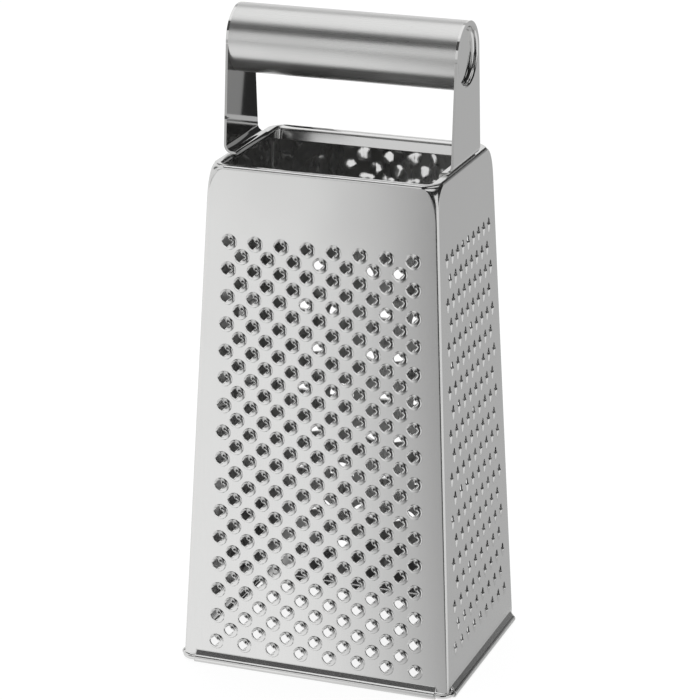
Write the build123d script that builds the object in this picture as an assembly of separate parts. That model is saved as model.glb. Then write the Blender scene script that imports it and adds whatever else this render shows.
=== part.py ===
"""Four-sided box grater of stainless steel sheet, in millimetres.

The body tapers upwards and is open at the top and the bottom. Its sheet is folded round four corners, so each
wall is a node that ends in the middle of the corner bends. At the top each wall turns in to a flange and down
to a collar. At the foot it flares out and rolls round a wire, which shows at the notched corners. Two pressed
straps rise from the collar and carry a round tube, the handle.

+Z is up, X runs along the handle, and the medium wall faces -Y. The origin is the middle of the footprint.
"""
import os
from collections import namedtuple
from math import atan2, cos, degrees, radians, sin, sqrt

from build123d import *

# Overall sizes
rim_height = 192.4
rim_width = 87.0
rim_depth = 63.2
base_width = 105.5
base_depth = 79.0
handle_rise = 40.0
sheet = 0.5

# Corner bends, flange and collar
corner_radius = 1.0
rim_radius = 1.2
flange_width = 4.0
collar_height = 5.5
collar_radius = 1.0
collar_corner = 1.6

# Wire and rolled hems
wire_diameter = 1.9
wire_clearance = 0.1
wire_bend = 3.2
hem_offset = 0.55
hem_notch = 5.0
hem_sweep = 260.0
hem_flat = 0.1
cove_radius = 1.5
corner_gap = 0.8

# Handle tube
tube_diameter = 25.2
tube_wall = 1.1

# Straps
strap_sheet = 0.9
strap_foot_width = 31.4
strap_inset = 0.5
strap_lip_bend = 0.8
strap_ledge_flat = 0.3
strap_leg = 11.0
strap_leg_corner = 3.0
cup_clearance = 0.1
cup_depth = 1.8
cup_lip = 0.8
cup_floor_radius = 0.9

# Medium wall: round crowns with a square mouth
crown_diameter = 5.8
crown_top_diameter = 4.4
crown_height = 1.2
crown_mouth = 3.1

# How teeth stand on a wall: the plain strips below the rim and above the table, then those beside the
# outermost teeth of the top and the bottom row. Each second row has one tooth less: the odd ones, or the even
# ones where short_first is 1
Pattern = namedtuple("Pattern", "rows columns top_margin foot_margin top_side foot_side short_first")
medium_pattern = Pattern(31, 8, 27.9, 9.1, 9.7, 12.8, 0)
fine_pattern = Pattern(19, 9, 27.1, 18.4, 8.5, 9.1, 0)
coarse_pattern = Pattern(10, 5, 24.3, 17.8, 12.3, 16.3, 1)
slice_pattern = Pattern(9, 2, 32.4, 22.4, 20.9, 23.6, 0)

# Raised ramps, open at their upper end: the fine, the coarse and the slicing teeth
Ramp = namedtuple("Ramp", "width length height mouth")
fine_ramp = Ramp(2.3, 4.6, 1.0, 0.7)
coarse_ramp = Ramp(10.0, 10.6, 2.8, 4.8)
slice_ramp = Ramp(21.0, 9.0, 2.2, 1.6)

# Cuts run this far past the faces that they leave, and touching faces are found within this distance
overrun = 2.0
touch = 0.01

# How much of the way to the middle a wall's wedge reaches
wedge_share = 0.9

# Forms that stand on their own origin
standing = (Align.CENTER, Align.CENTER, Align.MIN)

# Outer faces meet the table at the base sizes and the flange's plane at the rim sizes
Wall = namedtuple("Wall", "base_reach rim_reach base_half rim_half turn")
front = Wall(base_depth / 2, rim_depth / 2, base_width / 2, rim_width / 2, 0)
right = Wall(base_width / 2, rim_width / 2, base_depth / 2, rim_depth / 2, 90)
back = front._replace(turn=180)
left = right._replace(turn=270)

roll_radius = wire_diameter / 2 + wire_clearance + sheet
corner_foot = roll_radius - hem_flat + wire_diameter / 2 + corner_gap
handle_height = rim_height + handle_rise
tube_radius = tube_diameter / 2
tube_length = rim_width - 2 * strap_inset
strap_bend = flange_width - strap_inset - strap_lip_bend - strap_ledge_flat
opening_width = rim_width - 2 * flange_width
opening_depth = rim_depth - 2 * flange_width


def lean(wall):
    """Angle by which a wall leans inwards, in radians."""
    return atan2(wall.base_reach - wall.rim_reach, rim_height)


def reach_at(wall, level):
    """Distance from the middle to the wall's outer face at a height."""
    return wall.base_reach + (wall.rim_reach - wall.base_reach) * level / rim_height


def half_at(wall, level):
    """Half the wall's outer width at a height."""
    return wall.base_half + (wall.rim_half - wall.base_half) * level / rim_height


def wall_plane(wall):
    """Plane of the outer face, seen as the front wall: x along it, y up its slope, z outwards."""
    return Plane((0, -wall.base_reach, 0), x_dir=(1, 0, 0), z_dir=(0, -cos(lean(wall)), sin(lean(wall))))


def polar(centre, radius, angle):
    """Point at an angle in degrees round a centre."""
    return centre[0] + radius * cos(radians(angle)), centre[1] + radius * sin(radians(angle))


def frustum(bottom, top, inset):
    """Solid between the four outer faces, each moved in by the inset along its normal."""
    points = []
    for level in (bottom, top):
        x = half_at(front, level) - inset / cos(lean(right))
        y = reach_at(front, level) - inset / cos(lean(front))
        points += [(x, y, level), (-x, y, level), (-x, -y, level), (x, -y, level)]
    return ConvexPolyhedron(points)


def rounded_frustum(bottom, top, inset):
    """The frustum with its upright edges and its top edges rounded, concentric with the outer bends."""
    block = frustum(bottom, top, inset)
    steep = block.edges().filter_by(lambda edge: edge.bounding_box().size.Z > (top - bottom) / 2)
    block = fillet(steep, corner_radius - inset)
    return fillet(block.faces().sort_by(Axis.Z)[-1].edges(), rim_radius - inset)


def near_opening(edge, level):
    """True for an edge at a height that lies on the collar."""
    spot = edge.bounding_box()
    reach = sheet + touch
    flat = spot.size.Z < touch and abs(spot.center().Z - level) < touch
    return flat and spot.max.X < opening_width / 2 + reach and spot.max.Y < opening_depth / 2 + reach


def body_shell():
    """The folded sheet without its hems and teeth: four walls, flange and collar."""
    shell = rounded_frustum(corner_foot, rim_height, 0) - rounded_frustum(-overrun, rim_height - sheet, sheet)
    outer = RectangleRounded(opening_width + 2 * sheet, opening_depth + 2 * sheet, collar_corner + sheet)
    inner = RectangleRounded(opening_width, opening_depth, collar_corner)
    shell += Pos(0, 0, rim_height) * extrude(outer, -collar_height)
    shell -= Pos(0, 0, rim_height + overrun) * extrude(inner, -collar_height - 2 * overrun)
    under = [edge for edge in shell.edges() if near_opening(edge, rim_height - sheet)]
    shell = fillet(under, collar_radius - sheet)
    over = [edge for edge in shell.edges() if near_opening(edge, rim_height)]
    return fillet(over, collar_radius)


def wedge(wall):
    """Space of one wall, seen as the front wall: its sides pass through the middle of the corner bends."""
    points = []
    for level in (-overrun, rim_height + overrun):
        half = half_at(wall, level)
        reach = reach_at(wall, level)
        depth = min(half, reach) * wedge_share
        for side in (-1, 1):
            points.append((side * (half + overrun), -reach - overrun, level))
            points.append((side * (half - depth), -reach + depth, level))
    return ConvexPolyhedron(points)


def roll_centre(wall):
    """Middle of the rolled hem, outwards from the outer face and up its slope."""
    up = (roll_radius - hem_flat - hem_offset * sin(lean(wall))) / cos(lean(wall))
    return hem_offset, up


def cove_centre(wall):
    """Middle of the flare above the hem: its arc touches the outer face and the roll."""
    out, up = roll_centre(wall)
    return cove_radius, up + sqrt((cove_radius + roll_radius) ** 2 - (cove_radius - out) ** 2)


def hem_half(wall):
    """Half the length of a hem, which stops short of both corners."""
    return wall.base_half - hem_notch


def hem(wall):
    """Flare and roll of one wall's foot, cut flat where it stands on the table."""
    roll = roll_centre(wall)
    cove = cove_centre(wall)
    start = degrees(atan2(cove[1] - roll[1], cove[0] - roll[0]))
    end = start - hem_sweep
    outline = [
        Line((-sheet, cove[1]), (0, cove[1])),
        CenterArc(cove, cove_radius, 180, start),
        CenterArc(roll, roll_radius, start, -hem_sweep),
        Line(polar(roll, roll_radius, end), polar(roll, roll_radius - sheet, end)),
        CenterArc(roll, roll_radius - sheet, end, hem_sweep),
        CenterArc(cove, cove_radius + sheet, 180 + start, -start),
    ]
    frame = wall_plane(wall)
    section = Plane(frame.origin, x_dir=frame.z_dir, z_dir=-frame.x_dir)
    strip = extrude(section * make_face(outline), hem_half(wall), both=True)
    return split(strip, Plane.XY, keep=Keep.TOP)


def plain_wall(wall, shell):
    """One wall of the shell with its hem, seen as the front wall."""
    panel = (Rot(0, 0, -wall.turn) * shell) & wedge(wall)
    top = cove_centre(wall)[1]
    gap = Pos(0, top / 2 - overrun, 0) * Box(2 * hem_half(wall), top + 2 * overrun, 2 * overrun)
    return panel - wall_plane(wall).location * gap + hem(wall)


def places(wall, pattern):
    """Staggered places on a wall, along it and up its slope, from the top row down."""
    top = rim_height - pattern.top_margin
    half_top = half_at(wall, top) - pattern.top_side
    half_foot = half_at(wall, pattern.foot_margin) - pattern.foot_side
    spots = []
    for row in range(pattern.rows):
        share = row / (pattern.rows - 1)
        half = half_top + (half_foot - half_top) * share
        pitch = 2 * half / (pattern.columns - 1)
        up = (top + (pattern.foot_margin - top) * share) / cos(lean(wall))
        count = pattern.columns - (row + pattern.short_first) % 2
        spots += [((column - (count - 1) / 2) * pitch, up) for column in range(count)]
    return spots


def punched(wall, panel, pattern, raised, mouth):
    """A wall with a raised form and a mouth at each place of its pattern, turned to its own side."""
    frame = wall_plane(wall).location
    spots = [frame * Pos(along, up, 0) for along, up in places(wall, pattern)]
    panel = panel.fuse(*[spot * raised for spot in spots])
    panel = panel.cut(*[spot * mouth for spot in spots])
    return Rot(0, 0, wall.turn) * panel


def crown():
    """Round crown on the outer face, and the square that opens it with a corner upwards."""
    raised = Cone(crown_diameter / 2, crown_top_diameter / 2, crown_height, align=standing)
    mouth = Box(crown_mouth, crown_mouth, crown_height + sheet + 2 * overrun, align=standing)
    return raised, Pos(0, 0, -sheet - overrun) * Rot(0, 0, 45) * mouth


def ramp(size):
    """Ramp that rises from the sheet to a mouth at its upper end, and the hollow under its roof."""
    slope = atan2(size.height, size.length)
    below = -sheet - overrun
    roof = size.height - sheet / cos(slope)
    foot = (below - roof) * size.length / size.height
    rise = Polyline((-size.length, 0), (0, size.height), (0, 0), close=True)
    under = Polyline((foot, below), (size.mouth, below), (size.mouth, roof), (0, roof), close=True)
    raised = extrude(Plane.YZ * make_face(rise), size.width / 2, both=True)
    return raised, extrude(Plane.YZ * make_face(under), size.width / 2 - sheet, both=True)


def base_wire():
    """Closed wire inside the hems, bent round the four corners."""
    middles = []
    for wall in (right, front):
        out, up = roll_centre(wall)
        middles.append(wall_plane(wall).from_local_coords(Vector(0, up, out)))
    width, depth = (-2 * middle.Y for middle in middles)
    loop = Pos(0, 0, middles[0].Z) * RectangleRounded(width, depth, wire_bend + wire_diameter / 2)
    path = loop.face().outer_wire()
    section = Plane(path @ 0, z_dir=path % 0) * Circle(wire_diameter / 2)
    return sweep(section, path=path)


def handle_tube():
    """Open tube between the two straps."""
    ring = Circle(tube_radius) - Circle(tube_radius - tube_wall)
    return Pos(0, 0, handle_height) * extrude(Plane.YZ * ring, tube_length / 2, both=True)


def strap_side():
    """Side view of the right strap: upright, over the flange and down inside the collar."""
    inner = tube_length / 2
    outer = inner + strap_sheet
    leg_outer = opening_width / 2
    leg_inner = leg_outer - strap_sheet
    top = handle_height + tube_radius + overrun
    foot = rim_height - strap_leg
    over = rim_height + strap_sheet
    line = Polyline(
        (inner, top), (outer, top), (outer, rim_height), (leg_outer, rim_height),
        (leg_outer, foot), (leg_inner, foot), (leg_inner, over), (inner, over), close=True,
    )
    face = make_face(line)
    bends = {
        (outer, rim_height): strap_bend + strap_sheet,
        (inner, over): strap_bend,
        (leg_outer, rim_height): strap_lip_bend,
        (leg_inner, over): strap_lip_bend + strap_sheet,
    }
    for corner, radius in bends.items():
        face = fillet(face.vertices().sort_by_distance((*corner, 0))[0], radius)
    return extrude(Plane.XZ * face, strap_foot_width, both=True)


def strap_front():
    """Front view of a strap: round at the top, widening downwards, with rounded lower corners."""
    foot = rim_height - strap_leg
    half = strap_foot_width / 2
    sides = Polyline((tube_radius, handle_height), (half, rim_height), (half, foot),
                     (-half, foot), (-half, rim_height), (-tube_radius, handle_height), close=True)
    face = make_face(sides)
    face = fillet(face.vertices().sort_by(Axis.Y)[:2], strap_leg_corner)
    face += Pos(0, handle_height) * Circle(tube_radius)
    return extrude(Plane.YZ * face, tube_length, both=True)


def cup_blocks():
    """The cup pressed into the strap, as the block that it fills and the block that it hollows out."""
    outer_radius = tube_radius - tube_wall - cup_clearance
    face = tube_length / 2 + strap_sheet
    place = Pos(face, 0, handle_height) * Rot(0, -90, 0)
    block = Cylinder(outer_radius, cup_depth + strap_sheet, align=standing)
    block = fillet(block.edges().sort_by(Axis.Z)[-1], cup_floor_radius + strap_sheet)
    hollow = Cylinder(outer_radius - strap_sheet, cup_depth, align=standing)
    hollow = fillet(hollow.edges().sort_by(Axis.Z)[-1], cup_floor_radius)
    return place * block, place * hollow


def strap():
    """The right strap: bent plate with the cup that seats in the tube's end."""
    block, hollow = cup_blocks()
    plate = (strap_side() & strap_front()) + block - hollow
    face = tube_length / 2 + strap_sheet
    lip = plate.edges().filter_by(GeomType.CIRCLE).filter_by_position(Axis.X, face - touch, face + touch)
    lip = lip.filter_by(lambda edge: edge.radius < tube_radius - tube_wall)
    return fillet(lip, cup_lip)


def build():
    """All nodes by name."""
    shell = body_shell()
    nodes = {
        "front_wall_medium": punched(front, plain_wall(front, shell), medium_pattern, *crown()),
        "right_wall_fine": punched(right, plain_wall(right, shell), fine_pattern, *ramp(fine_ramp)),
        "back_wall_coarse": punched(back, plain_wall(back, shell), coarse_pattern, *ramp(coarse_ramp)),
        "left_wall_slicer": punched(left, plain_wall(left, shell), slice_pattern, *ramp(slice_ramp)),
        "base_wire": base_wire(),
        "handle_tube": handle_tube(),
        "right_strap": strap(),
    }
    nodes["left_strap"] = Rot(0, 0, 180) * nodes["right_strap"]
    return nodes


os.makedirs("parts", exist_ok=True)
for name, solid in build().items():
    export_step(solid, f"parts/{name}.step")
    print(name, len(solid.solids()), "solid", round(solid.volume, 1), "mm3")
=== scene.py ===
# %% [markdown]
# Box grater, dressed around its fixed frame
#
# A box grater is sheet metal almost everywhere: one thin body sheet, two pressed straps, one tube and one
# wire. The frame holds their true sizes as plain solids. This lesson keeps its straps, tube and wire,
# makes the body sheet anew with rounded corners and real teeth, and gives every piece a steel finish.
#
# Lengths are metres, +Z is up and the front wall faces -Y.

# %% Load the frame
from collections import namedtuple
from math import atan2, cos, degrees, pi, radians, sin, sqrt, tan

import bmesh
import bpy
from mathutils import Matrix, Vector


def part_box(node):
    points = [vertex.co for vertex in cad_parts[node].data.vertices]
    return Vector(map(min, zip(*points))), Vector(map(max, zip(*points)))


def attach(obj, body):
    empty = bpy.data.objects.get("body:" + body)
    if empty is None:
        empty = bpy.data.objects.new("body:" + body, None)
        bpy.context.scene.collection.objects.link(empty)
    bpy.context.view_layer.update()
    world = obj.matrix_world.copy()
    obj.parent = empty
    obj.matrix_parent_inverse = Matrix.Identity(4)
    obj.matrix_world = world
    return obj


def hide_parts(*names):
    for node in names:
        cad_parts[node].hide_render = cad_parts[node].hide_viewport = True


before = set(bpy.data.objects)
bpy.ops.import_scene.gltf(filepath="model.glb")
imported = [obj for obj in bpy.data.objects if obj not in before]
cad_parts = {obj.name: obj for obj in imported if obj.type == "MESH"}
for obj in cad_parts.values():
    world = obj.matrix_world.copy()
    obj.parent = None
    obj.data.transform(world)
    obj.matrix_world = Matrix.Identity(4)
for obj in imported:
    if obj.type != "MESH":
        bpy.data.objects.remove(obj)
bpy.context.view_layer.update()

print("frame:", sorted(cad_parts))

# %% [markdown]
# The sizes of the sheet follow. What the frame can tell, such as the height of the rim or the diameter of
# the tube, is read from it. The others are the sizes of the folded sheet without its hems, which the
# frame's boxes don't show.

# %% Sizes
mm = 0.001
micron = 0.001 * mm

_, wall_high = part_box("front_wall_medium")
tube_low, tube_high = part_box("handle_tube")

rim_height = wall_high.z
rim_width = 87.0 * mm
rim_depth = 63.2 * mm
base_width = 105.5 * mm
base_depth = 79.0 * mm
sheet = 0.5 * mm
strap_sheet = 0.9 * mm

tube_length = tube_high.x - tube_low.x
tube_diameter = tube_high.y - tube_low.y
print(f"rim at {rim_height / mm:.1f} mm, tube {tube_diameter / mm:.1f} x {tube_length / mm:.1f} mm")

# %% [markdown]
# The camera comes before the pieces, because the picture shows what each piece needs. A long lens far
# away keeps the upright edges nearly parallel, as in the photograph. A camera can be placed by eye until
# it seems to fit. Here its direction, roll, distance and lens come from a fit to the grater's corners, so
# they are written down as such, and its matrix is worked out from them.

# %% Camera
photo_side = 700
focal_pixels = 3015.6
camera_azimuth = radians(20.243)
camera_elevation = radians(18.972)
camera_roll = radians(0.102)
camera_distance = 1120.7 * mm
camera_target = Vector((-0.64 * mm, 0, 116.87 * mm))


def add_camera():
    """The camera, turned by its own axes: right, up and back."""
    back = Vector((
        sin(camera_azimuth) * cos(camera_elevation),
        -cos(camera_azimuth) * cos(camera_elevation),
        sin(camera_elevation),
    ))
    level = Vector((cos(camera_azimuth), sin(camera_azimuth), 0))
    rise = back.cross(level)
    right = level * cos(camera_roll) + rise * sin(camera_roll)
    up = rise * cos(camera_roll) - level * sin(camera_roll)
    data = bpy.data.cameras.new("camera")
    data.lens = focal_pixels / photo_side * data.sensor_width
    camera = bpy.data.objects.new("camera", data)
    turn = Matrix((right, up, back)).transposed()
    camera.matrix_world = Matrix.LocRotScale(camera_target + back * camera_distance, turn, None)
    bpy.context.scene.collection.objects.link(camera)
    bpy.context.scene.camera = camera
    return camera


camera = add_camera()
print(f"camera: lens {camera.data.lens:.1f} mm")

# %% [markdown]
# Materials and Geometry Nodes are node trees. They could be clicked together in their editors. A small
# helper adds the nodes and wires them instead, so that each tree below reads as a recipe.

# %% Node helper
class Recipe:
    """Adds nodes to a tree and links them."""

    def __init__(self, tree):
        self.tree = tree

    def node(self, kind, inputs=None, **settings):
        """A node with its settings. An input is a plain value or another node's output."""
        node = self.tree.nodes.new(kind)
        for name, value in settings.items():
            setattr(node, name, value)
        for name, value in (inputs or {}).items():
            if isinstance(value, bpy.types.NodeSocket):
                self.tree.links.new(value, node.inputs[name])
            else:
                node.inputs[name].default_value = value
        return node

    def output(self, kind, inputs=None, **settings):
        """The first output of a new node."""
        return self.node(kind, inputs, **settings).outputs[0]

    def math(self, operation, first, second=0.0):
        """One sum of two values."""
        return self.output("ShaderNodeMath", {0: first, 1: second}, operation=operation)

    def mapped(self, value, given, wanted):
        """A value stretched from the given range to the wanted one."""
        return self.output("ShaderNodeMapRange", {
            "Value": value,
            "From Min": given[0], "From Max": given[1],
            "To Min": wanted[0], "To Max": wanted[1],
        })


def new_material(name):
    """An empty material with its output, as a recipe, the material and the output node."""
    material = bpy.data.materials.new(name)
    material.use_nodes = True
    material.node_tree.nodes.clear()
    recipe = Recipe(material.node_tree)
    return recipe, material, recipe.node("ShaderNodeOutputMaterial")


print("helpers for node trees are ready")

# %% [markdown]
# Steel has no colour of its own to paint: it is told apart by how it blurs what it reflects. Three things
# make a steel finish here. Fine grain runs one way and wavers in depth, wide soft clouds vary the polish,
# and the grain lifts the surface by about a thousandth of a millimetre. Two more are for some pieces
# only: steel below a level can be duller, and thin sheet can have shallow dents, which bend what it
# reflects. An image of steel could be laid on instead, but it would stretch on the slopes. All of this
# reads the object's own coordinates, so it stays put on the piece.

# %% Steel finish
Grain = namedtuple("Grain", "axis width length depth")
Dullness = namedtuple("Dullness", "level added")
Dents = namedtuple("Dents", "width depth")

cloud_scale = 28.0
cloud_range = (0.3, 0.7)
streak_range = (0.25, 0.75)
dull_fade = 6 * mm
tone_spread = 0.04
wear_spread = 0.1


def steel(name, tone, roughness, grain, cloud_share, dullness=None, dents=None):
    """A steel finish with its grain along one axis. The polish varies by the cloud share."""
    recipe, material, output = new_material(name)
    place = recipe.node("ShaderNodeTexCoord").outputs["Object"]
    scale = [1 / grain.width] * 3
    scale["XYZ".index(grain.axis)] = 1 / grain.length
    lines = recipe.output("ShaderNodeMapping", {"Vector": place, "Scale": scale})
    streaks = recipe.output("ShaderNodeTexNoise", {
        "Vector": lines, "Scale": 1.0, "Detail": 4.0, "Roughness": 0.6,
    })
    clouds = recipe.output("ShaderNodeTexNoise", {"Vector": place, "Scale": cloud_scale, "Detail": 3.0})
    polish_range = (roughness * (1 - cloud_share), roughness * (1 + cloud_share))
    polish = recipe.mapped(clouds, cloud_range, polish_range)
    if dullness:
        height = recipe.node("ShaderNodeSeparateXYZ", {"Vector": place}).outputs["Z"]
        extra = recipe.mapped(height, (dullness.level - dull_fade, dullness.level), (dullness.added, 0.0))
        polish = recipe.math("ADD", polish, extra)
    wear = recipe.mapped(streaks, streak_range, (1 - wear_spread, 1 + wear_spread))
    shade = recipe.node("ShaderNodeMix", {
        "Factor": streaks,
        "A": [(1 - tone_spread) * value for value in tone] + [1.0],
        "B": [(1 + tone_spread) * value for value in tone] + [1.0],
    }, data_type="RGBA")
    colour = [socket for socket in shade.outputs if socket.type == "RGBA"][0]
    surface = recipe.output("ShaderNodeBump", {"Height": streaks, "Strength": 1.0, "Distance": grain.depth})
    if dents:
        hollows = recipe.output("ShaderNodeTexNoise", {
            "Vector": place, "Scale": 1 / dents.width, "Detail": 1.0,
        })
        surface = recipe.output("ShaderNodeBump", {
            "Height": hollows, "Strength": 1.0, "Distance": dents.depth, "Normal": surface,
        })
    shader = recipe.output("ShaderNodeBsdfPrincipled", {
        "Base Color": colour, "Metallic": 1.0, "Roughness": recipe.math("MULTIPLY", polish, wear),
        "Normal": surface,
    })
    recipe.tree.links.new(shader, output.inputs["Surface"])
    return material


print("clouds of polish are about", round(1 / cloud_scale / mm), "mm wide")

# %% [markdown]
# Seven finishes come out of it. The sheet is ground upright on its outside. Its inside is left bright,
# but is duller below the collar and a little dented by the punches. Its cut edges are dull. The tube is
# brushed along its length, the straps are brighter, the wire is drawn, and a spot weld is a burnt grey.

# %% The seven finishes
outside_finish = steel(
    "sheet_outside", (0.60, 0.60, 0.595), roughness=0.18,
    grain=Grain("Z", 0.25 * mm, 30 * mm, 0.4 * micron), cloud_share=0.12,
)
inside_finish = steel(
    "sheet_inside", (0.58, 0.58, 0.575), roughness=0.04,
    grain=Grain("Z", 2.4 * mm, 25 * mm, 9 * micron), cloud_share=0.3,
    dullness=Dullness(170 * mm, 0.24), dents=Dents(9 * mm, 160 * micron),
)
edge_finish = steel(
    "sheet_cut_edge", (0.62, 0.62, 0.615), roughness=0.28,
    grain=Grain("Z", 0.1 * mm, 0.4 * mm, 1 * micron), cloud_share=0.2,
)
tube_finish = steel(
    "tube_brushed", (0.56, 0.56, 0.555), roughness=0.29,
    grain=Grain("X", 0.12 * mm, 40 * mm, 1.2 * micron), cloud_share=0.1,
)
strap_finish = steel(
    "strap_pressed", (0.58, 0.58, 0.575), roughness=0.07,
    grain=Grain("Z", 0.25 * mm, 12 * mm, 0.6 * micron), cloud_share=0.15,
)
wire_finish = steel(
    "wire_drawn", (0.64, 0.64, 0.635), roughness=0.16,
    grain=Grain("X", 0.15 * mm, 6 * mm, 0.6 * micron), cloud_share=0.2,
)
weld_finish = steel(
    "weld_mark", (0.42, 0.42, 0.415), roughness=0.33,
    grain=Grain("Z", 0.2 * mm, 0.5 * mm, 2 * micron), cloud_share=0.2,
)
print("finishes:", [material.name for material in bpy.data.materials])

# %% [markdown]
# The body could be cut and bent from Blender's own primitives by hand. Points worked out from the sizes
# keep every fold exact, and a changed size moves all that depends on it. So these helpers make an object
# from points and faces, bake its modifiers into a plain mesh, and join several objects to one. Every
# object stays at the origin, unturned and unscaled, and its place is in its points.

# %% Mesh helpers
def linked(name, mesh):
    """A new object with the mesh, linked to the scene."""
    made = bpy.data.objects.new(name, mesh)
    bpy.context.scene.collection.objects.link(made)
    return made


def mesh_object(name, points, faces, smooth=True):
    """An object with the given points and faces."""
    mesh = bpy.data.meshes.new(name)
    mesh.from_pydata([tuple(point) for point in points], [], faces)
    mesh.polygons.foreach_set("use_smooth", [smooth] * len(mesh.polygons))
    mesh.update()
    return linked(name, mesh)


def outline(name, points):
    """A closed loop of edges through the points."""
    mesh = bpy.data.meshes.new(name)
    edges = [(place, (place + 1) % len(points)) for place in range(len(points))]
    mesh.from_pydata([tuple(point) for point in points], edges, [])
    return linked(name, mesh)


def baked(source, name):
    """A new plain object with the source's modifiers baked in. The source is deleted."""
    graph = bpy.context.evaluated_depsgraph_get()
    result = source.evaluated_get(graph)
    mesh = bpy.data.meshes.new_from_object(result, preserve_all_data_layers=True, depsgraph=graph)
    bpy.data.objects.remove(source)
    mesh.name = name
    return linked(name, mesh)


def joined(parts, name, gap):
    """Several objects as one, with points that lie closer than the gap welded."""
    with bpy.context.temp_override(active_object=parts[0], selected_editable_objects=parts):
        bpy.ops.object.join()
    whole = parts[0]
    whole.name = name
    form = bmesh.new()
    form.from_mesh(whole.data)
    before = len(form.verts)
    bmesh.ops.remove_doubles(form, verts=form.verts, dist=gap)
    print(f"{name}: {before} points, {len(form.verts)} after welding")
    form.to_mesh(whole.data)
    form.free()
    return whole


print("helpers for meshes are ready")

# %% [markdown]
# The body is one folded sheet. Its four walls lean inwards, so each has its own plane: x along the wall,
# y up its slope and z outwards. Whatever is drawn in that plane, a matrix carries to its place on the
# grater.

# %% Walls of the body
Wall = namedtuple("Wall", "base_reach rim_reach base_half rim_half turn")
front = Wall(base_depth / 2, rim_depth / 2, base_width / 2, rim_width / 2, 0)
right = Wall(base_width / 2, rim_width / 2, base_depth / 2, rim_depth / 2, 1)
back = front._replace(turn=2)
left = right._replace(turn=3)


def lean(wall):
    """Angle by which a wall leans inwards."""
    return atan2(wall.base_reach - wall.rim_reach, rim_height)


def reach_at(wall, level):
    """Distance from the middle to the wall's outer face at a height."""
    return wall.base_reach + (wall.rim_reach - wall.base_reach) * level / rim_height


def half_at(wall, level):
    """Half the wall's outer width at a height."""
    return wall.base_half + (wall.rim_half - wall.base_half) * level / rim_height


def wall_matrix(wall):
    """From the wall's own plane to the object's frame."""
    slope = lean(wall)
    axes = Matrix(((1, 0, 0), (0, sin(slope), cos(slope)), (0, -cos(slope), sin(slope)))).transposed()
    upright = Matrix.Translation((0, -wall.base_reach, 0)) @ axes.to_4x4()
    return Matrix.Rotation(wall.turn * pi / 2, 4, "Z") @ upright


print("walls lean by", [round(degrees(lean(wall)), 2) for wall in (front, right)], "degrees")

# %% [markdown]
# A section of the body at any height is a rectangle with rounded corners. The sheet bends sharply along
# the upright edges. Near the rim the bend opens out, because four folds meet there, and each wall looks
# like a panel with rounded upper corners. A short flat margin beside each bend keeps the bend's smooth
# shading out of the flat steel.

# %% One level section
corner_radius = 1.0 * mm
flare_radius = 6.0 * mm
chamfer_share = 0.5
margin = 0.3 * mm
corner_steps = 8


def corner_point(share, radius):
    """Point of a corner bend as (forth, across) from its centre. A wide bend is drawn flatter."""
    angle = (1 - cos(share * pi)) * pi / 4
    flat = chamfer_share * max(0, (radius - corner_radius) / (flare_radius - corner_radius))
    arc = Vector((cos(angle), sin(angle)))
    chord = Vector((1, 0)).lerp(Vector((0, 1)), 2 * angle / pi)
    return radius * arc.lerp(chord, flat)


def section(half_x, half_y, level, radius):
    """Points of a level section, in four groups: one for each corner, with its flat margins."""
    groups = []
    for quarter in range(4):
        turn = Matrix.Rotation(quarter * pi / 2, 3, "Z")
        along, across = (half_x, half_y) if quarter % 2 == 0 else (half_y, half_x)
        group = [Vector((along, across - radius - margin, level))]
        for step in range(corner_steps + 1):
            forth, side = corner_point(step / corner_steps, radius)
            group.append(Vector((along - radius + forth, across - radius + side, level)))
        group.append(Vector((along - radius - margin, across, level)))
        groups.append([turn @ point for point in group])
    return groups


print("points in a section:", 4 * len(section(rim_width, rim_depth, 0, corner_radius)[0]))

# %% [markdown]
# Stacked sections make the fold lines of the whole sheet. They follow the sheet's path: up the walls,
# over the rim's bend into a narrow level flange, and round a second bend down into the collar, whose long
# sides lean in. Rows close to an edge, as at the foot and at both ends of the collar, keep the shading
# crisp there.

# %% Sections of the folded sheet
flare_height = 11.0 * mm
rim_radius = 1.2 * mm
flange_width = 4.0 * mm
collar_radius = 1.0 * mm
collar_bend = 2.1 * mm
collar_lean = radians(15)
collar_corner = 1.6 * mm
collar_height = 4.8 * mm
collar_shares = (0.06, 0.94, 1)
corner_foot = 2.5 * mm
crisp = 0.4 * mm
flare_steps = 7
bend_steps = 5


def wall_sections():
    """Sections from the foot up to just below the rim's bend."""
    bend_level = rim_height - rim_radius * (1 - sin(lean(front)))
    rows = [(corner_foot, corner_radius), (corner_foot + crisp, corner_radius)]
    for step in range(flare_steps + 1):
        angle = step / flare_steps * pi / 2
        level = bend_level - flare_height + flare_height * sin(angle)
        rows.append((level, corner_radius + (flare_radius - corner_radius) * (1 - cos(angle))))
    return [section(half_at(front, level), reach_at(front, level), level, radius) for level, radius in rows]


def bend_angle(wall, step):
    """Angle at a step of the rim's bend, which runs from the wall's lean to the level flange."""
    return lean(wall) + (pi / 2 - lean(wall)) * step / bend_steps


def rim_section(step):
    """Section at a step of the rim's bend."""
    centre = rim_height - rim_radius
    halves = []
    for wall in (right, front):
        bend_centre = reach_at(wall, centre) - rim_radius / cos(lean(wall))
        halves.append(bend_centre + rim_radius * cos(bend_angle(wall, step)))
    level = centre + rim_radius * sin(bend_angle(front, step))
    return section(*halves, level, flare_radius - rim_radius * (1 - cos(bend_angle(front, step))))


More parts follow.
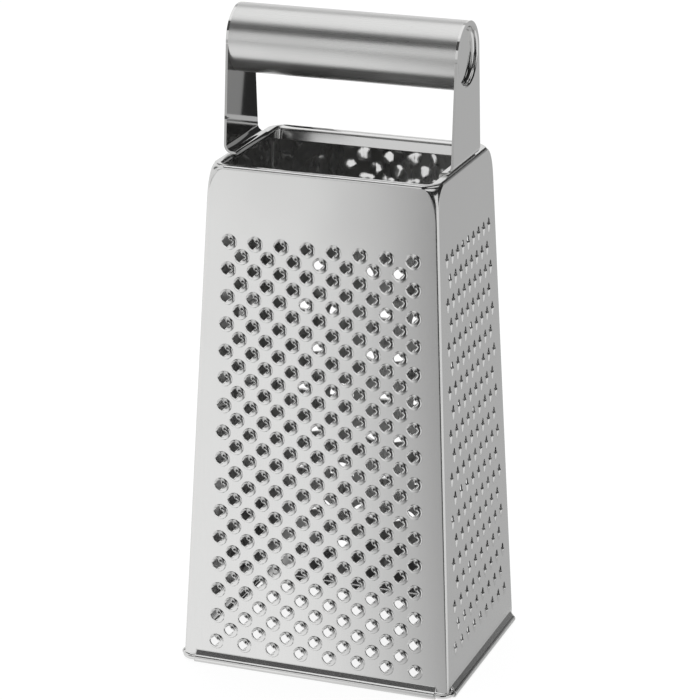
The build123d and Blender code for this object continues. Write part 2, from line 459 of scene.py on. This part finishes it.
def collar_sections():
    """Sections round the collar's bend and down its lean."""
    opening_x, opening_y = rim_width / 2 - flange_width, rim_depth / 2 - flange_width
    drop = collar_bend * (1 - sin(collar_lean))
    rows = []
    for step in range(bend_steps + 1):
        rise = pi / 2 - (pi / 2 - collar_lean) * step / bend_steps
        fall = collar_bend * (1 - sin(rise))
        out_x = collar_radius * (1 - sqrt(1 - (1 - fall / drop) ** 2))
        out_y = collar_bend * (cos(collar_lean) - cos(rise))
        rows.append(section(opening_x + out_x, opening_y + out_y, rim_height - fall, collar_corner + out_x))
    for share in collar_shares:
        fall = (collar_height - drop) * share
        half_y = opening_y - fall * tan(collar_lean)
        rows.append(section(opening_x, half_y, rim_height - drop - fall, collar_corner))
    return rows


lower_rows = wall_sections()
upper_rows = [rim_section(step) for step in range(1, bend_steps + 1)] + collar_sections()
print("sections:", len(lower_rows), "up the walls and", len(upper_rows), "round the rim")

# %% [markdown]
# Between the sections run faces. On the walls only the corners get faces, because the flat panels between
# them are cut with hundreds of mouths and come later. From the last wall section on, the faces run all
# the way round.

# %% Corners, flange and collar
def fold_faces(rows, closed_from):
    """Points and faces of the folds. From the given row on, the faces run all round."""
    points = [point for row in rows for group in row for point in group]
    group_size = len(rows[0][0])
    row_size = 4 * group_size
    faces = []
    for row in range(len(rows) - 1):
        for place in range(row_size):
            if place % group_size == group_size - 1 and row < closed_from:
                continue
            here, there = row * row_size + place, row * row_size + (place + 1) % row_size
            faces.append((here, there, there + row_size, here + row_size))
    return points, faces


panel_top = len(lower_rows) - 2
folds = mesh_object("folds", *fold_faces(lower_rows + upper_rows, panel_top))
print("folds:", len(folds.data.polygons), "faces")

# %% [markdown]
# Each wall's foot flares out and rolls round the wire, but stops short of the corners, so that the wire
# shows there. A real hem is rolled with a tool along the edge. The same can be done by moving one profile
# along the wall: a straight flare, and an arc round the wire. Where the grater stands, the roll is
# pressed flat. Rows within a crease of the bends keep the flare's reflection even up to its edges.

# %% Rolled hems
wire_low, wire_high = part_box("base_wire")
wire_radius = (wire_high.z - wire_low.z) / 2
roll_gap = 0.1 * mm
roll_radius = wire_radius + roll_gap + sheet
roll_start = radians(66)
roll_end = radians(-172)
roll_steps = 22
hem_offset = 0.55 * mm
hem_flat = 0.1 * mm
front_notch = 5.0 * mm
side_notch = 3.4 * mm
flare_tilt = radians(34)
crease = 0.12 * mm


def hem_sides(wall):
    """Places along the hem: its ends, which stop short of the corners, and a point close to each."""
    half = wall.base_half - (front_notch, side_notch)[wall.turn % 2]
    return -half, crisp - half, half - crisp, half


def hem_profile(wall):
    """Points of the hem's outer face as (outwards, up the slope), from the wall down and round the wire."""
    roll_up = (roll_radius - hem_flat - hem_offset * sin(lean(wall))) / cos(lean(wall))
    foot = Vector((hem_offset + roll_radius * cos(roll_start), roll_up + roll_radius * sin(roll_start)))
    top = Vector((0, foot.y + foot.x / tan(flare_tilt)))
    slant = Vector((sin(flare_tilt), -cos(flare_tilt)))
    profile = [(0, top.y + crease + margin), (0, top.y + crease)]
    profile += [top + crease * slant, top + 2 * crease * slant]
    profile += [foot - 2 * crease * slant, foot - crease * slant]
    for step in range(roll_steps + 1):
        angle = roll_start + (roll_end - roll_start) * step / roll_steps
        profile.append((hem_offset + roll_radius * cos(angle), roll_up + roll_radius * sin(angle)))
    return profile


def hem(wall):
    """The flare and roll of one wall's foot as one strip of faces, flat where it stands on the table."""
    place = wall_matrix(wall)
    sides = hem_sides(wall)
    points = []
    for out, up in hem_profile(wall):
        for side in sides:
            point = place @ Vector((side, up, out))
            point.z = max(point.z, 0)
            points.append(point)
    width = len(sides)
    starts = [start for start in range(len(points) - width) if start % width < width - 1]
    faces = [(start + width, start + width + 1, start + 1, start) for start in starts]
    return mesh_object("hem", points, faces)


hems = [hem(wall) for wall in (front, right, back, left)]
print("hem rows:", len(hem_profile(front)))

# %% [markdown]
# Now the teeth. A medium tooth is a round crown: the punch lifts the sheet to a low dome, splits it
# crosswise and folds four petals up round a square mouth. It could be sculpted once. A list of rings says
# the same in numbers: the outer rings are round, the inner ones follow the square mouth, and the petals
# rise between the splits. A ring says how far it lies beyond its round or square line, how much further
# its petals lie, how high both are, and how far it drifts, because the punch doesn't strike quite
# straight. Its thinning, the share of the stretched steel's thickness that is gone there, goes into an
# attribute.

# %% Crown with four petals
crown_sides = 16
crown_radius = 2.93 * mm
crown_mouth = 2.2 * mm
crown_lean = Vector((-0.5 * mm, 0.33 * mm, 0))

Ring = namedtuple("Ring", "square beyond petal_beyond height petal_height drift thinning")
crown_rings = (
    Ring(False, 0.12 * mm, 0, 0, 0, 0, 0),
    Ring(False, 0, 0, 0.04 * mm, 0, 0, 0),
    Ring(False, -0.20 * mm, 0, 0.44 * mm, 0, 0, 0.2),
    Ring(False, -0.30 * mm, 0, 0.50 * mm, 0, 0, 0.25),
    Ring(True, 0.22 * mm, 0.42 * mm, 0.54 * mm, 0, 0.35, 0.4),
    Ring(True, 0.14 * mm, 0.38 * mm, 0.58 * mm, 0, 0.5, 0.45),
    Ring(True, 0.06 * mm, 0.26 * mm, 0.62 * mm, 0.55 * mm, 0.75, 0.5),
    Ring(True, 0, 0, 0.70 * mm, 0.75 * mm, 1, 0.6),
)


def crown_point(ring, angle):
    """Point of a ring at an angle. Splits lie at the quarter turns, petals between them."""
    petal = abs(sin(2 * angle))
    base = crown_mouth / (abs(cos(angle)) + abs(sin(angle))) if ring.square else crown_radius
    radius = base + ring.beyond + ring.petal_beyond * petal
    height = ring.height + ring.petal_height * petal
    return Vector((radius * cos(angle), radius * sin(angle), height)) + crown_lean * ring.drift


def set_thinning(tooth, values):
    """Stores how much each point's sheet has thinned, from 0 to 1."""
    tooth.data.attributes.new("thinning", "FLOAT", "POINT").data.foreach_set("value", values)


def crown():
    """The crown's outer face, and the outline of the hole that it fills."""
    angles = [2 * pi * side / crown_sides for side in range(crown_sides)]
    points = [crown_point(ring, angle) for ring in crown_rings for angle in angles]
    faces = []
    for ring in range(len(crown_rings) - 1):
        for side in range(crown_sides):
            here, there = ring * crown_sides + side, ring * crown_sides + (side + 1) % crown_sides
            faces.append((here, there, there + crown_sides, here + crown_sides))
    tooth = mesh_object("crown", points, faces)
    set_thinning(tooth, [ring.thinning for ring in crown_rings for _ in angles])
    return tooth, outline("crown_hole", points[:crown_sides])


medium_tooth = crown()
print("faces of a crown:", len(medium_tooth[0].data.polygons))

# %% [markdown]
# The other three walls carry scoops: the punch cuts a short arc and lifts the sheet below it to a lip.
# One formula makes them all. Across the scoop the height is (1 - s^power)^2, which is a bell for a small
# power and a flat blade for a large one, and it always meets the sheet without a crease. Down the scoop
# the height fades from the lip to the tail: with a fade under 1 the scoop stays full for longer. The
# mouth is the arc above the lip.

# %% Scoops
Scoop = namedtuple("Scoop", "width length height mouth lip power fade rows columns thinning")
fine_scoop = Scoop(
    width=2.3 * mm, length=4.0 * mm, height=0.65 * mm, mouth=2.1 * mm, lip=-1.1 * mm,
    power=2.0, fade=0.6, rows=5, columns=8, thinning=0.45,
)
coarse_scoop = Scoop(
    width=10.0 * mm, length=10.6 * mm, height=2.8 * mm, mouth=5.4 * mm, lip=0,
    power=2.2, fade=1.3, rows=8, columns=12, thinning=0.2,
)
slice_scoop = Scoop(
    width=21.0 * mm, length=9.0 * mm, height=2.2 * mm, mouth=1.6 * mm, lip=0,
    power=9.0, fade=1.3, rows=7, columns=20, thinning=0.1,
)


def scoop_row(size, share):
    """Half width, height and place of a scoop's row, from its lip at 0 to its tail at 1."""
    half = size.width / 2 * sqrt(1 - share ** 3)
    return half, size.height * (1 - share) ** size.fade, size.lip - size.length * share


def scoop_faces(size):
    """Faces between the rows, and the fan that closes the tail."""
    width = size.columns + 1
    faces = []
    for row in range(size.rows - 1):
        for here in range(row * width, row * width + size.columns):
            below = here + width
            faces.append((below, below + 1, here + 1, here))
    last, tail = (size.rows - 1) * width, size.rows * width
    return faces + [(tail, last + column + 1, last + column) for column in range(size.columns)]


def scoop_outline(size, points):
    """Loop round the scoop's hole: down one edge, up the other and back along the mouth's arc."""
    width = size.columns + 1
    down = [points[row * width] for row in range(size.rows)]
    up = [points[row * width + size.columns] for row in reversed(range(size.rows))]
    angles = [pi * step / size.columns for step in range(1, size.columns)]
    arc = [Vector((size.width / 2 * cos(angle), size.lip + size.mouth * sin(angle), 0)) for angle in angles]
    return down + [points[-1]] + up + arc


def scoop(name, size):
    """The scoop's outer face, and the outline of the hole that it leaves in the sheet."""
    points, thinning = [], []
    for row in range(size.rows):
        half, height, up = scoop_row(size, row / size.rows)
        for column in range(size.columns + 1):
            side = 2 * column / size.columns - 1
            rise = (1 - abs(side) ** size.power) ** 2
            points.append(Vector((side * half, up, height * rise)))
            thinning.append(size.thinning * rise)
    points.append(Vector((0, size.lip - size.length, 0)))
    thinning.append(0.0)
    tooth = mesh_object(name, points, scoop_faces(size))
    set_thinning(tooth, thinning)
    return tooth, outline(name + "_hole", scoop_outline(size, points))


fine_tooth = scoop("fine_scoop", fine_scoop)
coarse_tooth = scoop("coarse_scoop", coarse_scoop)
slice_tooth = scoop("slice_scoop", slice_scoop)
scoops = (fine_tooth, coarse_tooth, slice_tooth)
print("faces of a scoop:", [len(tooth[0].data.polygons) for tooth in scoops])

# %% [markdown]
# A grating wall is the same recipe four times: staggered places, a hole at each place, and a tooth in
# each hole. Copying teeth by hand or with an Array would not cut the holes. Geometry Nodes do both. The
# tree below takes the flat panel's outline, works out the places from the number of rows and columns,
# fills the outline round the holes, and sets the teeth in. Each second row has one tooth less. A wobble
# turns each tooth a little by chance, with a fixed seed.

# %% Geometry Nodes tree of a punched wall
wall_inputs = (
    ("Outline", "Geometry"),
    ("Rows", "Int"), ("Columns", "Int"), ("Short First", "Int"),
    ("Top Level", "Float"), ("Foot Level", "Float"),
    ("Top Half Width", "Float"), ("Foot Half Width", "Float"),
    ("Wobble", "Float"), ("Tooth", "Object"), ("Hole", "Object"),
    ("Weld Gap", "Float"), ("Finish", "Material"),
)
wobble_seed = 7


def tooth_places(recipe, given):
    """Staggered points, spread from the top row to the foot row, and a small turn for each."""
    count = recipe.math("MULTIPLY", given["Rows"], given["Columns"])
    index = recipe.output("GeometryNodeInputIndex")
    row = recipe.math("FLOOR", recipe.math("DIVIDE", index, given["Columns"]))
    column = recipe.math("SUBTRACT", index, recipe.math("MULTIPLY", row, given["Columns"]))
    share = recipe.math("DIVIDE", row, recipe.math("SUBTRACT", given["Rows"], 1.0))
    level = recipe.output("ShaderNodeMix", {
        "Factor": share, "A": given["Top Level"], "B": given["Foot Level"],
    })
    half = recipe.output("ShaderNodeMix", {
        "Factor": share, "A": given["Top Half Width"], "B": given["Foot Half Width"],
    })
    last = recipe.math("SUBTRACT", given["Columns"], 1.0)
    odd = recipe.math("MODULO", recipe.math("ADD", row, given["Short First"]), 2.0)
    middle = recipe.math("DIVIDE", recipe.math("SUBTRACT", last, odd), 2.0)
    pitch = recipe.math("DIVIDE", recipe.math("MULTIPLY", half, 2.0), last)
    along = recipe.math("MULTIPLY", recipe.math("SUBTRACT", column, middle), pitch)
    place = recipe.output("ShaderNodeCombineXYZ", {"X": along, "Y": level})
    points = recipe.output("GeometryNodePoints", {"Count": count, "Position": place})
    spare = recipe.math("MULTIPLY", odd, recipe.math("COMPARE", column, last))
    kept = recipe.output("GeometryNodeDeleteGeometry", {"Geometry": points, "Selection": spare})
    turn = recipe.node("FunctionNodeRandomValue", {"Seed": wobble_seed}, data_type="FLOAT")
    turn.inputs[2].default_value = -1.0
    angle = recipe.math("MULTIPLY", turn.outputs[1], given["Wobble"])
    return kept, recipe.output("ShaderNodeCombineXYZ", {"Z": angle})


def spread(recipe, thing, places, turns):
    """The thing at every place, as plain geometry."""
    form = recipe.node("GeometryNodeObjectInfo", {"Object": thing}).outputs["Geometry"]
    copies = recipe.output("GeometryNodeInstanceOnPoints", {
        "Points": places, "Instance": form, "Rotation": turns,
    })
    return recipe.output("GeometryNodeRealizeInstances", {"Geometry": copies})


def together(recipe, forms):
    """Several forms as one geometry."""
    whole = recipe.node("GeometryNodeJoinGeometry")
    for form in forms:
        recipe.tree.links.new(form, whole.inputs[0])
    return whole.outputs[0]


def punched_wall_tree():
    """The node tree that turns a panel's outline into a punched wall."""
    tree = bpy.data.node_groups.new("punched_wall", "GeometryNodeTree")
    for name, kind in wall_inputs:
        tree.interface.new_socket(name=name, in_out="INPUT", socket_type="NodeSocket" + kind)
    tree.interface.new_socket(name="Wall", in_out="OUTPUT", socket_type="NodeSocketGeometry")
    recipe = Recipe(tree)
    given = recipe.node("NodeGroupInput").outputs
    places, turns = tooth_places(recipe, given)
    loops = (spread(recipe, given["Hole"], places, turns), given["Outline"])
    curves = [recipe.output("GeometryNodeMeshToCurve", {"Mesh": loop}) for loop in loops]
    plate = recipe.output("GeometryNodeFillCurve", {"Curve": together(recipe, curves)}, mode="TRIANGLES")
    flat = recipe.output("GeometryNodeSetShadeSmooth", {"Geometry": plate, "Shade Smooth": False})
    teeth = spread(recipe, given["Tooth"], places, turns)
    welded = recipe.output("GeometryNodeMergeByDistance", {
        "Geometry": together(recipe, (teeth, flat)), "Distance": given["Weld Gap"],
    })
    whole = recipe.output("GeometryNodeRealizeInstances", {"Geometry": welded})
    painted = recipe.output("GeometryNodeSetMaterial", {"Geometry": whole, "Material": given["Finish"]})
    recipe.node("NodeGroupOutput", {"Wall": painted})
    return tree


wall_tree = punched_wall_tree()
print("nodes in the tree:", len(wall_tree.nodes))

# %% [markdown]
# A pattern holds the strips that stay plain: below the rim and above the table, and beside the outermost
# teeth of the top and the bottom row. Because the walls taper, the rows get wider downwards. On the
# coarse wall the short row comes first. The panel's outline follows the margins of the corner bends and
# steps round the hem.

# %% Patterns and panels
weld_gap = 0.004 * mm
Pattern = namedtuple("Pattern", "rows columns top_margin foot_margin top_side foot_side short_first")
medium_pattern = Pattern(31, 8, 27.9 * mm, 9.1 * mm, 9.7 * mm, 12.8 * mm, 0)
fine_pattern = Pattern(19, 9, 27.1 * mm, 18.4 * mm, 8.5 * mm, 9.1 * mm, 0)
coarse_pattern = Pattern(10, 5, 24.3 * mm, 17.8 * mm, 12.3 * mm, 16.3 * mm, 1)
slice_pattern = Pattern(9, 2, 32.4 * mm, 22.4 * mm, 20.9 * mm, 23.6 * mm, 0)


def panel_outline(wall):
    """Outline of the flat part of a wall, in the wall's own plane."""
    to_plane = wall_matrix(wall).inverted()
    left_corner, right_corner = (2 + wall.turn) % 4, (3 + wall.turn) % 4
    left_side = [to_plane @ row[left_corner][-1] for row in lower_rows[:panel_top + 1]]
    right_side = [to_plane @ row[right_corner][0] for row in lower_rows[:panel_top + 1]]
    sides = hem_sides(wall)
    foot, hem_top = left_side[0].y, hem_profile(wall)[0][1]
    step = [(sides[0], foot)] + [(side, hem_top) for side in sides] + [(sides[-1], foot)]
    corners = [left_side[0]] + [Vector((x, y, 0)) for x, y in step] + right_side + left_side[:0:-1]
    return outline("panel_outline", corners)


def punched_wall(wall, pattern, tooth, wobble):
    """One wall's punched panel as a plain mesh, in its place."""
    panel = panel_outline(wall)
    top, foot = rim_height - pattern.top_margin, pattern.foot_margin
    values = {
        "Rows": pattern.rows, "Columns": pattern.columns, "Short First": pattern.short_first,
        "Top Level": top / cos(lean(wall)), "Foot Level": foot / cos(lean(wall)),
        "Top Half Width": half_at(wall, top) - pattern.top_side,
        "Foot Half Width": half_at(wall, foot) - pattern.foot_side,
        "Wobble": wobble, "Tooth": tooth[0], "Hole": tooth[1],
        "Weld Gap": weld_gap, "Finish": outside_finish,
    }
    modifier = panel.modifiers.new("punched_wall", "NODES")
    modifier.node_group = wall_tree
    for item in wall_tree.interface.items_tree:
        if item.in_out == "INPUT" and item.name in values:
            modifier[item.identifier] = values[item.name]
    made = baked(panel, "panel")
    made.data.transform(wall_matrix(wall))
    print("panel", wall.turn, len(made.data.polygons), "faces, normal", made.data.polygons[0].normal[:])
    return made


panels = [
    punched_wall(front, medium_pattern, medium_tooth, radians(2)),
    punched_wall(right, fine_pattern, fine_tooth, 0.0),
    punched_wall(back, coarse_pattern, coarse_tooth, 0.0),
    punched_wall(left, slice_pattern, slice_tooth, 0.0),
]
for tooth in (medium_tooth,) + scoops:
    for used in tooth:
        bpy.data.objects.remove(used)

# %% [markdown]
# So far the sheet is a skin without thickness. The real one is 0.5 mm, less where the punch has stretched
# it. An inner skin could be drawn as well, but a Solidify modifier does it from the first one, and it
# also closes every cut edge: lips, mouths, hems and collar. A vertex group made from the thinning
# attribute tells it how thick each point is. The inside gets a finish of its own, because the inside of a
# bright sheet isn't ground, and the cut edges get a third.

# %% The body sheet
def add_gauge(sheet_object):
    """A vertex group with the share of the sheet's thickness that is left at each point."""
    mesh = sheet_object.data
    thinning = [0.0] * len(mesh.vertices)
    mesh.attributes["thinning"].data.foreach_get("value", thinning)
    levels = {}
    for place, value in enumerate(thinning):
        levels.setdefault(round(value, 3), []).append(place)
    gauge = sheet_object.vertex_groups.new(name="gauge")
    for value, places in levels.items():
        gauge.add(places, 1 - value, "REPLACE")
    return gauge.name


def body_sheet():
    """Folds, hems and panels welded to one sheet and thickened inwards."""
    for part in [folds] + hems:
        part.data.materials.append(outside_finish)
    sheet_object = joined([folds] + hems + panels, "body_sheet", weld_gap)
    materials = sheet_object.data.materials
    materials.clear()
    for finish in (outside_finish, inside_finish, edge_finish):
        materials.append(finish)
    solid = sheet_object.modifiers.new("sheet", "SOLIDIFY")
    solid.thickness = sheet
    solid.offset = -1
    solid.use_even_offset = True
    solid.use_quality_normals = True
    solid.vertex_group = add_gauge(sheet_object)
    solid.material_offset = 1
    solid.material_offset_rim = 2
    return baked(sheet_object, "body_sheet")


body = body_sheet()
triangles = sum(len(face.vertices) - 2 for face in body.data.polygons)
print("body sheet:", triangles, "triangles")
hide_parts("front_wall_medium", "right_wall_fine", "back_wall_coarse", "left_wall_slicer")
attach(body, "root")

# %% [markdown]
# The wire, the tube and the straps are plain bent, turned and pressed shapes, which the frame already has
# in full. They keep its meshes and only get their finishes.

# %% Finishes of the frame's own pieces
own_finishes = {
    "base_wire": wire_finish,
    "handle_tube": tube_finish,
    "right_strap": strap_finish,
    "left_strap": strap_finish,
}
for node, finish in own_finishes.items():
    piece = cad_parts[node]
    piece.data.materials.clear()
    piece.data.materials.append(finish)
print("kept from the frame:", list(own_finishes))

# %% [markdown]
# Spot welds hold the straps' legs to the collar. Each leaves a small round dimple with a raised rim on
# the leg. A bump in the finish would show no edge against the light, so each mark is a small mesh: a
# profile turned round its own axis, with its back closed inside the strap's sheet.

# %% Weld marks
weld_sides = 16
weld_radius = 0.85 * mm
weld_sink = -0.2 * mm
weld_rings = ((weld_radius, weld_sink), (weld_radius, 0), (0.7 * mm, 0.1 * mm), (0.4 * mm, 0.03 * mm))
weld_middle = 0.02 * mm
weld_places = ((8.0 * mm, 185.2 * mm), (7.0 * mm, 189.2 * mm), (13.2 * mm, 189.2 * mm))
leg_face = rim_width / 2 - flange_width - strap_sheet


def weld_mark(across, level, side):
    """Points and faces of one mark on the left strap, or on the right strap where side is -1."""
    points = []
    for radius, height in weld_rings:
        for step in range(weld_sides):
            angle = 2 * pi * step / weld_sides
            points.append((height - leg_face, across + radius * cos(angle), level + radius * sin(angle)))
    points += [(height - leg_face, across, level) for height in (weld_sink, weld_middle)]
    last = (len(weld_rings) - 1) * weld_sides
    back, face = last + weld_sides, last + weld_sides + 1
    faces = []
    for step in range(weld_sides):
        after = (step + 1) % weld_sides
        for start in range(0, last, weld_sides):
            here, there = start + step, start + after
            faces.append((here, there, there + weld_sides, here + weld_sides))
        faces.append((back, after, step))
        faces.append((face, last + step, last + after))
    return [(side * x, side * y, z) for x, y, z in points], faces


marks = [
    mesh_object("weld_mark", *weld_mark(across, level, side))
    for side in (1, -1)
    for across, level in weld_places
]
for mark in marks:
    mark.data.materials.append(weld_finish)
welds = joined(marks, "weld_marks", micron)
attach(welds, "root")

# %% [markdown]
# The studio comes next. Polished steel shows its surroundings more than itself, so the surroundings are
# part of the picture. The floor and the room are plain white wherever they are seen, straight or in the
# steel, and give only a plain level of light otherwise, so that white doesn't come from too much light.
# The floor still keeps the grater's shadow.

# %% Floor and room
floor_reach = 6.0
floor_tone = 0.8
shadow_tone = 0.18
floor_glow = 0.88
room_light = 0.7


def white_for_sight(recipe, seen, lit):
    """A shader that is plain white where it is seen, and another one otherwise."""
    path = recipe.node("ShaderNodeLightPath").outputs
    looks = recipe.math("MAXIMUM", path["Is Camera Ray"], path["Is Glossy Ray"])
    looks = recipe.math("MAXIMUM", looks, path["Is Transmission Ray"])
    return recipe.output("ShaderNodeMixShader", {0: looks, 1: lit, 2: seen})


def floor_material():
    """A white floor that keeps a soft shadow."""
    recipe, material, output = new_material("floor_white")
    paper = recipe.output("ShaderNodeBsdfDiffuse", {"Color": (floor_tone, floor_tone, floor_tone, 1)})
    faint = recipe.output("ShaderNodeBsdfDiffuse", {"Color": (shadow_tone, shadow_tone, shadow_tone, 1)})
    white = recipe.output("ShaderNodeEmission", {"Strength": floor_glow})
    seen = recipe.output("ShaderNodeAddShader", {0: white, 1: faint})
    recipe.tree.links.new(white_for_sight(recipe, seen, paper), output.inputs["Surface"])
    return material


def white_room():
    """The world: white where it is seen, and a plain level of light otherwise."""
    world = bpy.data.worlds.new("white_room")
    world.use_nodes = True
    world.node_tree.nodes.clear()
    recipe = Recipe(world.node_tree)
    seen = recipe.output("ShaderNodeBackground", {"Strength": 1.0, "Color": (1, 1, 1, 1)})
    lit = recipe.output("ShaderNodeBackground", {"Strength": room_light, "Color": (1, 1, 1, 1)})
    recipe.node("ShaderNodeOutputWorld", {"Surface": white_for_sight(recipe, seen, lit)})
    bpy.context.scene.world = world


floor_corners = [(-1, -1), (1, -1), (1, 1), (-1, 1)]
floor_points = [(x * floor_reach, y * floor_reach, 0) for x, y in floor_corners]
floor = mesh_object("floor", floor_points, [(0, 1, 2, 3)], smooth=False)
floor.data.materials.append(floor_material())
white_room()
print("floor:", 2 * floor_reach, "m wide")

# %% [markdown]
# One large soft lamp hangs high up behind the grater. It gives the shadow on the floor its place. The
# steel doesn't mirror it, because the steel's light bands are laid by cards, further on.

# %% Lamp
lamp_place = Vector((0, 0.45, 1.45))
lamp_target = Vector((0, 0, 0.12))
lamp_size = (1.6, 1.3)
lamp_power = 7.8


def add_lamp():
    """The soft lamp, turned to the grater and hidden from the camera and from reflections."""
    data = bpy.data.lights.new("lamp_top", "AREA")
    data.shape = "RECTANGLE"
    data.size, data.size_y = lamp_size
    data.energy = lamp_power
    lamp = bpy.data.objects.new("lamp_top", data)
    aim = (lamp_target - lamp_place).to_track_quat("-Z", "Y")
    lamp.matrix_world = Matrix.LocRotScale(lamp_place, aim, None)
    lamp.visible_camera = False
    lamp.visible_glossy = False
    bpy.context.scene.collection.objects.link(lamp)


add_lamp()
print("lamp:", lamp_power, "W")

# %% [markdown]
# In a white room polished steel would look like paper. In a studio cards are put up round such a piece,
# which the camera doesn't see and the steel does, and each card draws a band. These cards glow in a tone
# of their own, so their bands don't depend on the lamp, and they neither light the grater nor shade it.

# %% Cards
def card_paint(name, tone):
    """A glowing paint of one tone."""
    recipe, material, output = new_material(name)
    paint = recipe.output("ShaderNodeEmission", {"Strength": tone})
    recipe.tree.links.new(paint, output.inputs["Surface"])
    material.cycles.emission_sampling = "NONE"
    return material


def graded_paint(name, tones, point, direction, width):
    """A glowing paint that goes from one tone to another over a width, across a line through a point."""
    material = card_paint(name, 1.0)
    recipe = Recipe(material.node_tree)
    place = recipe.node("ShaderNodeTexCoord").outputs["Object"]
    across = Vector((direction[1], -direction[0], 0)).normalized()
    reach = recipe.node("ShaderNodeVectorMath", {0: place, 1: across}, operation="DOT_PRODUCT")
    start = across.dot(Vector(point))
    strength = recipe.output("ShaderNodeMapRange", {
        "Value": reach.outputs["Value"],
        "From Min": start - width / 2, "From Max": start + width / 2,
        "To Min": tones[0], "To Max": tones[1],
    }, interpolation_type="SMOOTHSTEP")
    recipe.tree.links.new(strength, material.node_tree.nodes["Emission"].inputs["Strength"])
    return material


def card(name, corners, paint):
    """A strip of card that only reflections see, with two corners for each crosswise fold."""
    faces = [(place, place + 1, place + 3, place + 2) for place in range(0, len(corners) - 2, 2)]
    made = mesh_object(name, corners, faces, smooth=False)
    made.data.materials.append(paint)
    made.visible_camera = False
    made.visible_diffuse = False
    made.visible_shadow = False
    made.visible_transmission = False


dark_paint = card_paint("dark_paint", 0.03)
deep_paint = card_paint("deep_paint", 0.1)
dim_paint = card_paint("dim_paint", 0.3)
side_paint = card_paint("side_paint", 0.6)
half_paint = card_paint("half_paint", 0.65)
pale_paint = card_paint("pale_paint", 1.0)
bright_paint = card_paint("bright_paint", 1.3)
front_tones = (1.22, 0.05)
front_line_point = (50 * mm, -40 * mm, 0)
front_line_way = (0.338, 0.941)
front_paint = graded_paint("front_grade", front_tones, front_line_point, front_line_way, 130 * mm)
print("the front card fades from", front_tones[0], "to", front_tones[1])

# %% [markdown]
# The lying cards are first. The front wall leans back, so it mirrors the table in front of it, to the
# left: that card is graded, as the wall is in the photograph. The fine wall mirrors the table behind it,
# to the right. A dark card on the floor inside the body is painted shade: it stands in for the shadow that
# fills the body, which the steel mirrors while the camera still sees the white floor through the mouths.
# A bright one hangs above, and a small one gives the tube its shadow at the left end.

# %% Lying cards
Edge = namedtuple("Edge", "y left right")
on_table = 0.4 * mm
inside_level = 1 * mm
inside_edge = Edge(-35 * mm, -48 * mm, 48 * mm)
tube_edge = Edge(-24 * mm, -75 * mm, -30 * mm)
ceiling_level = 1.5
tube_card_level = 205 * mm


def level_card(name, near, far, level, paint):
    """A level card between two edges that run from left to right."""
    card(name, [(x, edge.y, level) for edge in (near, far) for x in (edge.left, edge.right)], paint)


lying_cards = (
    ("card_front", Edge(-1.5, -1.6, 0.85), Edge(-42.2 * mm, -1.6, 56 * mm), on_table, front_paint),
    ("card_side", Edge(-45 * mm, 55.4 * mm, 58 * mm), Edge(2.4, 55.4 * mm, 2.1), on_table, side_paint),
    # painted shade: this dark card stands in for the shadow on the floor inside the body, seen only in
    # reflections
    ("card_inside", inside_edge, inside_edge._replace(y=-inside_edge.y), inside_level, dark_paint),
    ("card_ceiling", Edge(-0.5, -1.5, 0.25), Edge(1.6, -1.5, 0.25), ceiling_level, bright_paint),
    ("card_tube_end", tube_edge, tube_edge._replace(y=-12 * mm), tube_card_level, deep_paint),
)
for name, near, far, level, paint in lying_cards:
    level_card(name, near, far, level, paint)
print("lying cards:", len(lying_cards))

# %% [markdown]
# The standing cards go round the grater as parts of a drum. Each is given by its azimuths, from the front
# to the right, and by its elevations. Rounded pieces mirror them: the tube, the bends of the rim and the
# collar, the corners and each single tooth. Dark cards to the right put the crescents on the crowns.

# %% Standing cards
drum_radius = 1.5
near_radius = 1.48
drum_level = 0.15
drum_steps = 12


def drum_card(name, azimuths, elevations, radius, paint):
    """A card that stands round the object. Azimuths count from the front to the right."""
    rows = []
    for step in range(drum_steps + 1):
        turn = radians(azimuths[0] + (azimuths[1] - azimuths[0]) * step / drum_steps)
        for elevation in elevations:
            flat, rise = radius * cos(radians(elevation)), radius * sin(radians(elevation))
            rows.append((flat * sin(turn), -flat * cos(turn), drum_level + rise))
    card(name, rows, paint)


standing_cards = (
    ("card_front_low", (-60, 0), (-6, 3), drum_radius, half_paint),
    ("card_front_mid", (-60, 0), (3, 25), drum_radius, pale_paint),
    ("card_camera", (0, 30), (-8, 60), drum_radius, dark_paint),
    ("card_front_high", (-75, 0), (30, 57), drum_radius, deep_paint),
    ("card_right_near", (30, 50), (0, 28), drum_radius, dark_paint),
    ("card_right_low", (50, 95), (0, 28), drum_radius, pale_paint),
    ("card_right_high", (30, 95), (28, 62), drum_radius, dark_paint),
    ("card_right_back", (95, 150), (0, 62), drum_radius, dark_paint),
    ("card_back_low", (100, 172), (-3, 16), near_radius, dim_paint),
    ("card_back_mid", (100, 186), (16, 45), near_radius, dark_paint),
    ("card_back_high", (-180, -140), (34, 50), drum_radius, half_paint),
)
for name, azimuths, elevations, radius, paint in standing_cards:
    drum_card(name, azimuths, elevations, radius, paint)
print("standing cards:", len(standing_cards))

# %% [markdown]
# Two small upright flags stand just behind the rim. The inner face of the left strap mirrors them as a
# dark and a dim band, with a slightly slanted edge between them.

# %% Flags for the left strap
flag_depth = 34 * mm
flag_foot = 193.3 * mm
flag_top = 212 * mm
flag_left = -40 * mm
flag_right = -20 * mm
band_foot = -28.5 * mm
band_top = -30.2 * mm


def flag(name, left_edge, right_edge, paint):
    """An upright card between two edges, each given by where its foot and its top are."""
    levels = (flag_foot, flag_top)
    corners = [(x, flag_depth, level) for edge in (left_edge, right_edge) for x, level in zip(edge, levels)]
    card(name, corners, paint)


flag("card_strap_dark", (flag_left, flag_left), (band_foot, band_top), dark_paint)
flag("card_strap_dim", (band_foot, band_top), (flag_right, flag_right), dim_paint)
print("flags from", flag_foot / mm, "to", flag_top / mm, "mm up")

# %% [markdown]
# Last come the plain view settings.

# %% Finish
bpy.context.scene.view_settings.view_transform = "Standard"
